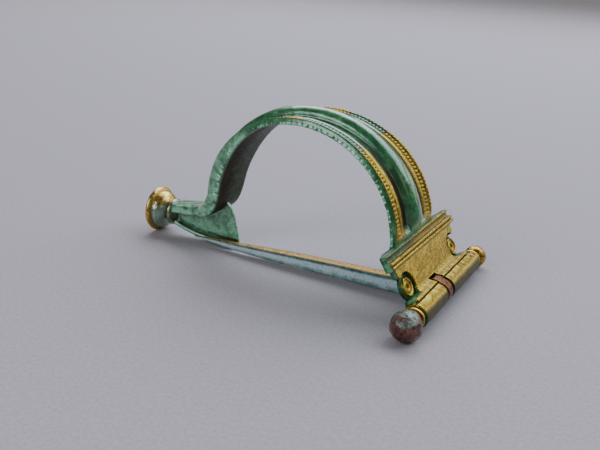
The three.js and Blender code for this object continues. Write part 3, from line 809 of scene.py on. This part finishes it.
def buildTube(name, fromY, toY):
    inner, outer, rounding = tube["bore"], tube["radius"], tube["rounding"]
    steps = np.linspace(fromY + rounding, toY - rounding, int((toY - fromY) / tube["step"]))
    corner = [(outer - rounding + rounding * math.sin(a), rounding - rounding * math.cos(a))
              for a in np.radians([0, 30, 60])]
    profile = [(r, fromY + d) for r, d in corner] + [(outer, y) for y in steps]
    profile += [(r, toY - d) for r, d in corner[::-1]]
    profile += [(inner + 0.1, toY), (inner, toY - 0.1), (inner, (fromY + toY) / 2), (inner, fromY + 0.1),
                (inner + 0.1, fromY)]
    centre = np.array([plate["hinge"][0], 0, plate["hinge"][1]])
    rings = lathe(profile, centre, "y", tube["sides"])
    # the sheet's edge: a narrow seam beside the plate's lip
    offset = rings - centre
    offset[..., 1] = 0
    fromOut = fromPlateNormal(offset)
    start, end = tube["seam"]
    seam = within(fromOut, start - 4, start + 3, end, end + 5)
    radius = np.linalg.norm(offset, axis=-1)
    outerWall = smooth(radius, outer - 0.1, outer - 0.02)
    rings = rings - offset * (outerWall * seam * tube["seamDepth"] / outer)[..., None]
    piece = makePiece(name, rings.reshape(-1, 3), ringFaces(*rings.shape[:2], joinEnds=True))
    roughen(piece, tube["dents"])
    points = pointsOf(piece)
    offset = points - centre
    radius = np.hypot(offset[:, 0], offset[:, 2])
    fromOut = fromPlateNormal(offset)
    # painted shade in the bore, under the tube and on its ends at the pin's slot, and darker along the seam;
    # the olive lower front half, worn less, is a painted dark reflection
    inSeam = within(fromOut, 58, 62, 74, 80)
    olive = 1 - smooth(fromOut + 6 * lumps(points, 1.5, 40), -12, 22)
    under = smooth(-offset[:, 2], 0.6, 1.6)
    ends = 1 - smooth(np.minimum(points[:, 1] - fromY, toY - points[:, 1]), 0.05, 0.3)
    wearAndPaintedLight = 0.98 - 0.5 * olive - 0.1 * under - 0.2 * ends * (points[:, 1] < -11)
    wearAndPaintedLight = np.where(radius < 1.3, 0.2, wearAndPaintedLight)
    fromSlot = np.minimum(np.abs(points[:, 1] - slotNear), np.abs(points[:, 1] - slotFar))
    grimeAndShade = np.maximum.reduce([inSeam * 0.66, under * 0.66, olive * 0.56, (radius < 1.3) * 0.95, ends * 0.2,
                               (1 - smooth(fromSlot, 0.04, 0.26)) * 0.9])
    finishPiece(piece, "brooch", "castBronzeRubbedSatin", "bow", 45,
                wearAndPaintedLight, grimeAndShade, ends * (points[:, 1] < -11) * 0.2)


# Catch: a thin wall under the foot whose lower edge is curled up on the near side

catch = {
    "leftX": -22.8, "rightX": -10.6,
    "wallY": 0.4, "wallThickness": 0.95, "lipY": -1.07, "lipTop": 0.85,
    "floor": 0.24, "thickness": 0.44,
    "lowest": 0.25, "climb": 1.6,
    "rightEdge": [(0.0, -10.62), (1.0, -10.6), (3.0, -11.0), (5.0, -11.55), (6.7, -12.3), (7.6, -13.1),
                  (8.8, -14.2)],   # height, x
    "topLine": [(-22.8, 4.75), (-18.6, 5.1), (-16.5, 5.7), (-15.2, 6.6), (-14.2, 8.0),
                (-10.6, 8.8)],   # x, height
    "rowSpacing": 0.055, "rows": 90, "columns": 150,
    "dents": [(2.0, 0.05, 10), (0.7, 0.025, 11), (0.25, 0.008, 12)],
}


def buildCatch(shape):
    count, columns = shape["rows"], shape["columns"]
    leftX, length = shape["leftX"], shape["rightX"] - shape["leftX"]
    x0 = leftX + np.linspace(0, 1, columns) * length
    climb = shape["lowest"] + shape["climb"] * np.clip((shape["rightX"] - x0) / length, 0, 1) ** 3
    topTable = np.array(shape["topLine"])
    top = np.interp(x0, topTable[:, 0], topTable[:, 1]) - climb
    lip, wall, floorLevel = shape["lipY"], shape["wallY"], shape["floor"]
    foldTop = 0.8   # where the curl ends and the flat wall starts
    curl = np.array([
        (lip, shape["lipTop"] - 0.1), (lip, 0.62), (lip + 0.03, 0.42), (lip + 0.14, 0.28),
        (lip + 0.35, floorLevel), (lip + 0.7, floorLevel - 0.02), (wall - 0.45, floorLevel),
        (wall - 0.2, floorLevel + 0.08), (wall - 0.05, 0.5), (wall, foldTop)])
    curlLine, _ = resample(curl, shape["rowSpacing"])
    curled = len(curlLine)
    wallShare = np.linspace(0, 1, count)[1:]
    y = np.concatenate([curlLine[:, 0], np.full(count - 1, wall)])
    grid = np.zeros((len(y), columns, 3))
    for i in range(len(y)):
        rise = curlLine[i, 1] + 0 * top if i < curled else foldTop + wallShare[i - curled] * (top - foldTop)
        z = climb + rise
        edge = np.interp(z, *np.array(shape["rightEdge"]).T)
        grid[i, :, 0] = leftX + (x0 - leftX) * (edge - leftX) / length
        grid[i, :, 1], grid[i, :, 2] = y[i], z
    down = np.gradient(grid, axis=0)
    across = np.gradient(grid, axis=1)
    normal = np.cross(down, across)
    normal /= np.linalg.norm(normal, axis=-1)[..., None] + 1e-12
    thin, thickWall = shape["thickness"], shape["wallThickness"]
    rowThick = np.interp(np.arange(len(y)), [0, curled - 14, curled + 10, len(y)],
                         [thin, thin, thickWall, thickWall])
    step = np.arange(columns) * length / columns
    fromRight = step[-1] - step
    fromLip = np.arange(len(y)) * shape["rowSpacing"]
    rounding = np.sqrt(np.clip(1 - (1 - np.clip(fromRight / 0.35, 0, 1)) ** 2, 0.02, 1))[None, :]
    rounding = rounding * np.sqrt(np.clip(1 - (1 - np.clip(fromLip / 0.2, 0, 1)) ** 2, 0.02, 1))[:, None]
    taper = (0.8 + 0.2 * smooth(fromRight, 0, 2.5))[None, :]
    thick = rowThick[:, None] * rounding * taper / 2
    front, back = grid + normal * thick[..., None], grid - normal * thick[..., None]
    rings = np.concatenate([front, back[:, ::-1]], axis=1)     # out along one face and back along the other
    piece = makePiece("catchPlate", rings.reshape(-1, 3), ringFaces(*rings.shape[:2]))
    roughen(piece, shape["dents"])
    points = pointsOf(piece)
    z, y, x = points[:, 2], points[:, 1], points[:, 0]
    low = 1 - smooth(z, 0.8, 2.2)
    wearAndPaintedLight = 0.42 * low * smooth(x, -17, -12) * (y > -0.6) + 0.12
    # painted shade inside the gutter and on faces turned down
    gutterTop = 1.4 + shape["climb"] * np.clip((shape["rightX"] - x) / length, 0, 1) ** 3
    gutter = (z < gutterTop) * (y > lip + 0.12) * (y < wall - 0.2)
    facingUp = normalsOf(piece)[:, 2]
    grimeAndShade = 0.8 * gutter * (facingUp > -0.2) + 0.35 * (facingUp < -0.4)
    onLip = (y < lip + 0.25) * 1.0
    # pale over the whole wall, partly crust and partly painted light on the shaded wall; painted highlights
    # along the lip's edge and on a ledge low on the wall
    spots = lumps(points, 0.5, 39) + 0.6 * lumps(points, 1.5, 41)
    ledge = (1 - smooth(np.abs(z - 1.9), 0.1, 0.3)) * (y < 0.2)
    ledge = ledge * within(x, -20, -18, -15, -13.5)
    pale = 0.72 + 0.4 * spots + onLip * (0.5 + 0.4 * spots) + 0.5 * ledge
    finishPiece(piece, "brooch", "castBronzeMalachitePatina", "bow", 60, wearAndPaintedLight, grimeAndShade, pale)


# Foot knob: turned, with a thin-rimmed end disc, a bulb, a neck and a small collar

knob = {
    "endX": -27.3, "axisZ": 3.75, "sides": 160,
    "profile": [   # radius, distance from the end disc
        (0.02, 0.04), (1.2, 0.03), (2.4, 0.02), (3.1, 0.0), (3.45, 0.05), (3.7, 0.17), (3.8, 0.4),
        (3.78, 0.6), (3.66, 0.8), (3.4, 0.94), (3.2, 1.02), (3.14, 1.15), (3.18, 1.35), (3.14, 1.6),
        (3.0, 1.95), (2.78, 2.3), (2.45, 2.6), (2.1, 2.84), (1.8, 2.98), (1.68, 3.1), (1.68, 3.24),
        (1.8, 3.34), (2.05, 3.42), (2.2, 3.55), (2.26, 3.72), (2.22, 3.92), (2.1, 4.08), (1.9, 4.18),
        (1.2, 4.2), (0.02, 4.2)],
    "dents": [(1.8, 0.05, 13), (0.6, 0.02, 14), (0.25, 0.006, 15)],
}


def buildKnob(shape):
    profile, _ = resample(np.array(shape["profile"]), 0.07)
    piece = turnPiece("footKnob", profile, (shape["endX"], 0, shape["axisZ"]), "x", shape["sides"],
                      shape["dents"])
    points = pointsOf(piece)
    along = points[:, 0] - shape["endX"]
    radius = np.hypot(points[:, 1], points[:, 2] - shape["axisZ"])
    height = (points[:, 2] - shape["axisZ"]) / 3.8
    bulb = within(along, 0.95, 1.15, 3.0, 3.15)
    wearAndPaintedLight = 0.98 - 0.75 * bulb * (1 - smooth(height, 0.25, 0.7)) - 0.6 * smooth(along, 3.3, 3.5)
    # painted shade in the neck groove and behind the end disc, and painted contact shade darkening towards
    # the floor
    grimeAndShade = 0.8 * (1 - smooth(np.abs(along - 3.15), 0.08, 0.3)) * (radius < 2.3)
    grimeAndShade = np.maximum(grimeAndShade, 0.5 * (1 - smooth(np.abs(along - 1.05), 0.04, 0.16)) * (radius > 2.8))
    grimeAndShade = np.maximum(grimeAndShade, 0.6 * (1 - smooth(points[:, 2], 0.3, 1.2)))
    finishPiece(piece, "brooch", "turnedBrassWorn", "foot_knob", 50,
                wearAndPaintedLight, grimeAndShade, 0.4 * (along > 3.35) + 0.3 * bulb)


# Axle, its collars and its two balls

axle = {"x": 25.15, "z": 2.1, "radius": 0.75, "halfLength": 15.75, "bevel": 0.15, "sides": 40,
        "dents": [(1.0, 0.03, 16), (0.35, 0.02, 17)]}


def buildAxle(shape):
    end, radius, bevel = shape["halfLength"], shape["radius"], shape["bevel"]
    profile = [(0.02, -end), (radius - bevel, -end), (radius, -end + bevel)]
    profile += [(radius, y) for y in np.linspace(-end + 2 * bevel, end - 2 * bevel, 160)]
    profile += [(radius, end - bevel), (radius - bevel, end), (0.02, end)]
    piece = turnPiece("hingeAxle", profile, (shape["x"], 0, shape["z"]), "y", shape["sides"],
                      shape["dents"])
    finishPiece(piece, "brooch", "forgedIronRusted", "hinge_axle", 40, 0.15, 0.25)


collar = {"radius": 1.55, "bore": 1.05, "y": 12.25, "thickness": 0.45, "bevel": 0.1, "sides": 96,
          "dents": [(0.8, 0.03, 18), (0.3, 0.01, 19)]}


def buildCollar(shape, side, node):
    near, far = shape["y"], shape["y"] + shape["thickness"]
    if side < 0:
        near, far = -far, -near
    r, b, e = shape["radius"], shape["bore"], shape["bevel"]
    profile = [(b, near + e), (b + e, near), (r - e, near), (r - 0.03, near + 0.03), (r, near + e),
               (r, far - e), (r - 0.03, far - 0.03), (r - e, far), (b + e, far), (b, far - e)]
    piece = turnPiece(node, profile, (axle["x"], 0, axle["z"]), "y", shape["sides"], shape["dents"],
                      joinEnds=True)
    finishPiece(piece, "brooch", "cutSheetBrass", node, 40, 0.9, 0.1)


nearBall = {"y": 15.25, "z": 2.1, "radius": 2.15, "halfLength": 2.25, "socketEnd": 0.8, "side": -1,
            "dents": [(1.6, 0.09, 25), (0.7, 0.06, 26), (0.3, 0.03, 27), (0.16, 0.012, 28)]}
farBall = {"y": 15.0, "z": 1.78, "radius": 1.78, "halfLength": 1.78, "socketEnd": 1.0, "side": 1,
           "dents": [(1.6, 0.05, 29), (0.6, 0.025, 30), (0.25, 0.01, 32)]}
ballSocket = 1.05   # radius of the hole for the axle


def turnBall(name, shape):
    # heights are measured from the ball's middle towards the tube, where its socket opens
    radius, socketEnd = shape["radius"], shape["socketEnd"]
    angles = np.linspace(math.asin(ballSocket / radius), math.pi - 0.01, 110)
    arc = [(radius * math.sin(angle), shape["halfLength"] * math.cos(angle)) for angle in angles]
    profile = np.array([(0.02, -socketEnd), (ballSocket, -socketEnd)] + arc)
    profile[:, 1] = shape["side"] * (shape["y"] - profile[:, 1])
    piece = turnPiece(name, profile, (axle["x"], 0, shape["z"]), "y", 180, shape["dents"])
    return piece, pointsOf(piece)


def buildNearBall(shape):
    # rust below, and grey-green bronze left on the upper side, paler there as a painted highlight
    piece, points = turnBall("nearBall", shape)
    height = (points[:, 2] - shape["z"]) / shape["radius"] - (points[:, 1] + shape["y"]) * 0.1
    upper = smooth(height + 0.45 * lumps(points, 0.9, 35) + 0.2 * lumps(points, 0.35, 36), 0.3, 1.0)
    finishPiece(piece, "brooch", "rustStainedBronze", "near_ball", 60,
                upper * 0.55 + 0.03, 0.25 + 0.5 * smooth(lumps(points, 0.45, 31), 0.25, 0.8), upper * 0.3)


def buildFarBall(shape):
    piece, points = turnBall("farBall", shape)
    finishPiece(piece, "brooch", "brownedBrass", "far_ball", 60,
                0.85 + 0.3 * lumps(points, 1.2, 33), 0.35 * smooth(lumps(points, 0.6, 34), 0.2, 0.8))


# Pin: a flat round head with an eye on the axle, and a shank that tapers to a point

pin = {
    "y": -2.1, "tipX": -17.8, "shankThickness": (1.5, 0.5), "edge": 0.1,
    # heights of the upper and lower edge by distance from the axle
    "topLine": [(0.9, 3.62), (2.5, 3.42), (4.5, 3.2), (9, 2.85), (16, 2.66), (24, 2.35), (30, 2.02),
                (34, 1.75), (38, 1.58), (42.95, 1.3)],
    "underLine": [(0.9, 0.5), (2.5, 0.46), (9, 0.36), (20, 0.38), (30, 0.4), (34, 0.44), (38, 0.62),
                  (41, 0.88), (42.95, 1.12)],
    "shankDents": [(2.5, 0.04, 20), (0.8, 0.025, 21), (0.25, 0.008, 22)],
    "headRadius": 1.7, "headBore": 1.05, "headThickness": 1.75, "headBevel": 0.12, "stopRise": 0.5,
    "headDents": [(1.2, 0.03, 23), (0.4, 0.012, 24)],
}


def shankOutline(zTop, zLow, w, edge):
    # half width w, small rounding on top and a larger one below
    low = min(edge * 2.5, w * 0.8, (zTop - zLow) * 0.4)
    corner = np.radians([0, 30, 60, 90])
    sideHeights = np.linspace(zTop - edge, zLow + low, 16)[1:-1]
    outline = [(-w + edge - edge * math.cos(a), zTop - edge + edge * math.sin(a)) for a in corner]
    outline += [(y, zTop) for y in np.linspace(-w + edge, w - edge, 6)[1:-1]]
    outline += [(w - edge + edge * math.sin(a), zTop - edge + edge * math.cos(a)) for a in corner]
    outline += [(w, z) for z in sideHeights]
    outline += [(w - low + low * math.cos(a), zLow + low - low * math.sin(a)) for a in corner]
    outline += [(y, zLow) for y in np.linspace(w - low, -w + low, 5)[1:-1]]
    outline += [(-w + low - low * math.sin(a), zLow + low - low * math.cos(a)) for a in corner]
    return outline + [(-w, z) for z in sideHeights[::-1]]


def buildShank(shape):
    length = axle["x"] - shape["tipX"]
    distance = np.linspace(0.9, length, 520)
    top = np.interp(distance, *np.array(shape["topLine"]).T)
    under = np.interp(distance, *np.array(shape["underLine"]).T)
    kernel = np.ones(25) / 25   # eases the corners of both lines
    for line in (top, under):
        line[12:-12] = np.convolve(line, kernel, "valid")
    thick, thin = shape["shankThickness"]
    half = (thick + (thin - thick) * smooth(distance, 24, length)) / 2
    edge = np.minimum(shape["edge"], half * 0.45)
    rings = np.array([[(axle["x"] - d, shape["y"] + y, z) for y, z in shankOutline(zTop, zLow, w, e)]
                      for d, zTop, zLow, w, e in zip(distance, top, under, half, edge)])
    piece = makePiece("pinShank", rings.reshape(-1, 3), ringFaces(*rings.shape[:2]))
    roughen(piece, shape["shankDents"])
    points, normals = pointsOf(piece), normalsOf(piece)
    topHere = np.interp(axle["x"] - points[:, 0], distance, top)
    lowHere = np.interp(axle["x"] - points[:, 0], distance, under)
    fromTop = topHere - points[:, 2]
    depth = fromTop / (topHere - lowHere)
    wearAndPaintedLight = np.clip(0.95 * smooth(normals[:, 2], 0.3, 0.8) + 0.5 * (1 - smooth(fromTop, 0.02, 0.16)), 0, 1)
    # a darker line under the top edge, and painted contact shade darkening the lower part
    grimeAndShade = 0.75 * smooth(fromTop, 0.05, 0.15) * (1 - smooth(depth, 0.16, 0.34))
    grimeAndShade = np.maximum(grimeAndShade, 0.65 * smooth(depth, 0.7, 1.0))
    # a painted highlight band along the middle of each side, over the pale patina
    finishPiece(piece, "pin", "hammeredBronzePin", "pin", 45, wearAndPaintedLight, grimeAndShade,
                0.95 * within(depth, 0.2, 0.35, 0.55, 0.8))


def buildPinHead(shape):
    middle, half = plate["slot"]["y"], shape["headThickness"] / 2
    near, far = middle - half, middle + half
    r, b, e = shape["headRadius"], shape["headBore"], shape["headBevel"]
    profile = [(b, near + e), (b + e, near), (b + 0.25, near), (r - 0.25, near), (r - e, near),
               (r - 0.035, near + 0.035), (r, near + e)]
    profile += [(r, y) for y in np.linspace(near + e, far - e, 10)[1:-1]]
    profile += [(r, far - e), (r - 0.035, far - 0.035), (r - e, far), (r - 0.25, far), (b + 0.25, far),
                (b + e, far), (b, far - e)]
    centre = np.array([axle["x"], 0, axle["z"]])
    rings = lathe(profile, centre, "y", 120)
    # a stop on the head grows up into the slot of the plate
    offset = rings - centre
    offset[..., 1] = 0
    radius = np.linalg.norm(offset, axis=-1)
    around = np.degrees(np.arctan2(offset[..., 2], offset[..., 0]))
    around = np.where(around < -90, around + 360, around)
    stop = within(around, 78, 122, 168, 205) * smooth(radius, 1.25, r - 0.03)
    rings = rings + offset / radius[..., None] * (stop * shape["stopRise"])[..., None]
    head = makePiece("pinHead", rings.reshape(-1, 3), ringFaces(*rings.shape[:2], joinEnds=True))
    roughen(head, shape["headDents"])
    points = pointsOf(head)
    radius = np.hypot(points[:, 0] - axle["x"], points[:, 2] - axle["z"])
    # painted shade on the head's faces inside the slot, darker towards the bore
    finishPiece(head, "pin", "rubbedCopperRedBronze", "pin", 45,
                0.2 + 0.62 * smooth(radius, r - 0.12, r - 0.04),
                0.5 * (1 - smooth(radius, r - 0.5, r - 0.05)))


buildBow(bow)
print("bow strip built")
buildHeadPlate(plate)
print("head plate built")
buildTube("tubeNear", -tube["halfLength"], slotNear)
buildTube("tubeFar", slotFar, tube["halfLength"])
print("hinge tube built")
buildCatch(catch)
print("catch built")
buildKnob(knob)
buildAxle(axle)
buildCollar(collar, -1, "near_collar")
buildCollar(collar, 1, "far_collar")
buildNearBall(nearBall)
buildFarBall(farBall)
print("knob, axle, collars and balls built")
buildShank(pin)
buildPinHead(pin)
print("pin built")


# Floor and light

studio = {
    "floorSize": 8.0, "sweepStart": 1.5, "sweepRadius": 0.6,   # m
    "world": ("#d9dce2", 0.11),
    # azimuth from -Y towards +X, elevation, distance, size and how far behind the brooch it points
    # (degrees and metres), watts, colour
    "boxes": [
        ("skylight", 166, 49, 0.6, (1.3, 0.42), 0.0, 7.4, "#e2ecff"),
        ("lowPanel", 148, 13, 0.6, (0.42, 0.14), 0.0, 0.42, "#fff8ec"),
        ("warmFill", 62, 28, 0.7, (0.3, 0.3), 0.0, 0.25, "#ffe9cc"),
        ("coolFill", 338, 30, 0.7, (0.4, 0.3), 0.0, 2.2, "#eaf1ff"),
        ("backdropWash", 208, 89, 1.7, (2.4, 1.6), 1.5, 20.0, "#ffffff"),
    ],
}


def makeStudio(setup):
    # flat under and round the object, and far behind it the paper sweeps up to its stand
    back = direction(cameraView["azimuth"] + 180, 0)
    side = direction(cameraView["azimuth"] + 90, 0)
    bend, start = setup["sweepRadius"], setup["sweepStart"]
    path = [(-3, 0), (-1, 0), (0, 0), (1, 0)]
    path += [(start + bend * math.sin(a), bend * (1 - math.cos(a)))
             for a in np.radians(np.linspace(0, 80, 12))]
    path.append((path[-1][0] + 0.2, path[-1][1] + 1.2))
    steps = np.linspace(-setup["floorSize"] / 2, setup["floorSize"] / 2, 9)
    points = np.array([side * w + back * (d, d, 0) + np.array([0, 0, z]) for d, z in path for w in steps])
    faces = [[i * 9 + j, (i + 1) * 9 + j, (i + 1) * 9 + j + 1, i * 9 + j + 1]
             for i in range(len(path) - 1) for j in range(8)]
    mesh = bpy.data.meshes.new("floor")
    mesh.from_pydata(points.tolist(), [], faces)
    mesh.shade_smooth()
    mesh.materials.append(floorCloth())
    floor = bpy.data.objects.new("floor", mesh)
    bpy.context.scene.collection.objects.link(floor)
    world = bpy.data.worlds.new("studioAir")
    world.use_nodes = True
    air = world.node_tree.nodes["Background"]
    air.inputs["Color"].default_value = toLinear(setup["world"][0])
    air.inputs["Strength"].default_value = setup["world"][1]
    bpy.context.scene.world = world
    for name, azimuth, elevation, distance, (wide, high), behind, watts, hexColour in setup["boxes"]:
        data = bpy.data.lights.new(name, "AREA")
        data.shape = "RECTANGLE"
        data.size, data.size_y = wide, high
        data.energy = watts
        data.color = toLinear(hexColour)[:3]
        lamp = bpy.data.objects.new(name, data)
        aimFrom(lamp, back * behind, azimuth, elevation, distance)


makeStudio(studio)
print("floor and lights set")
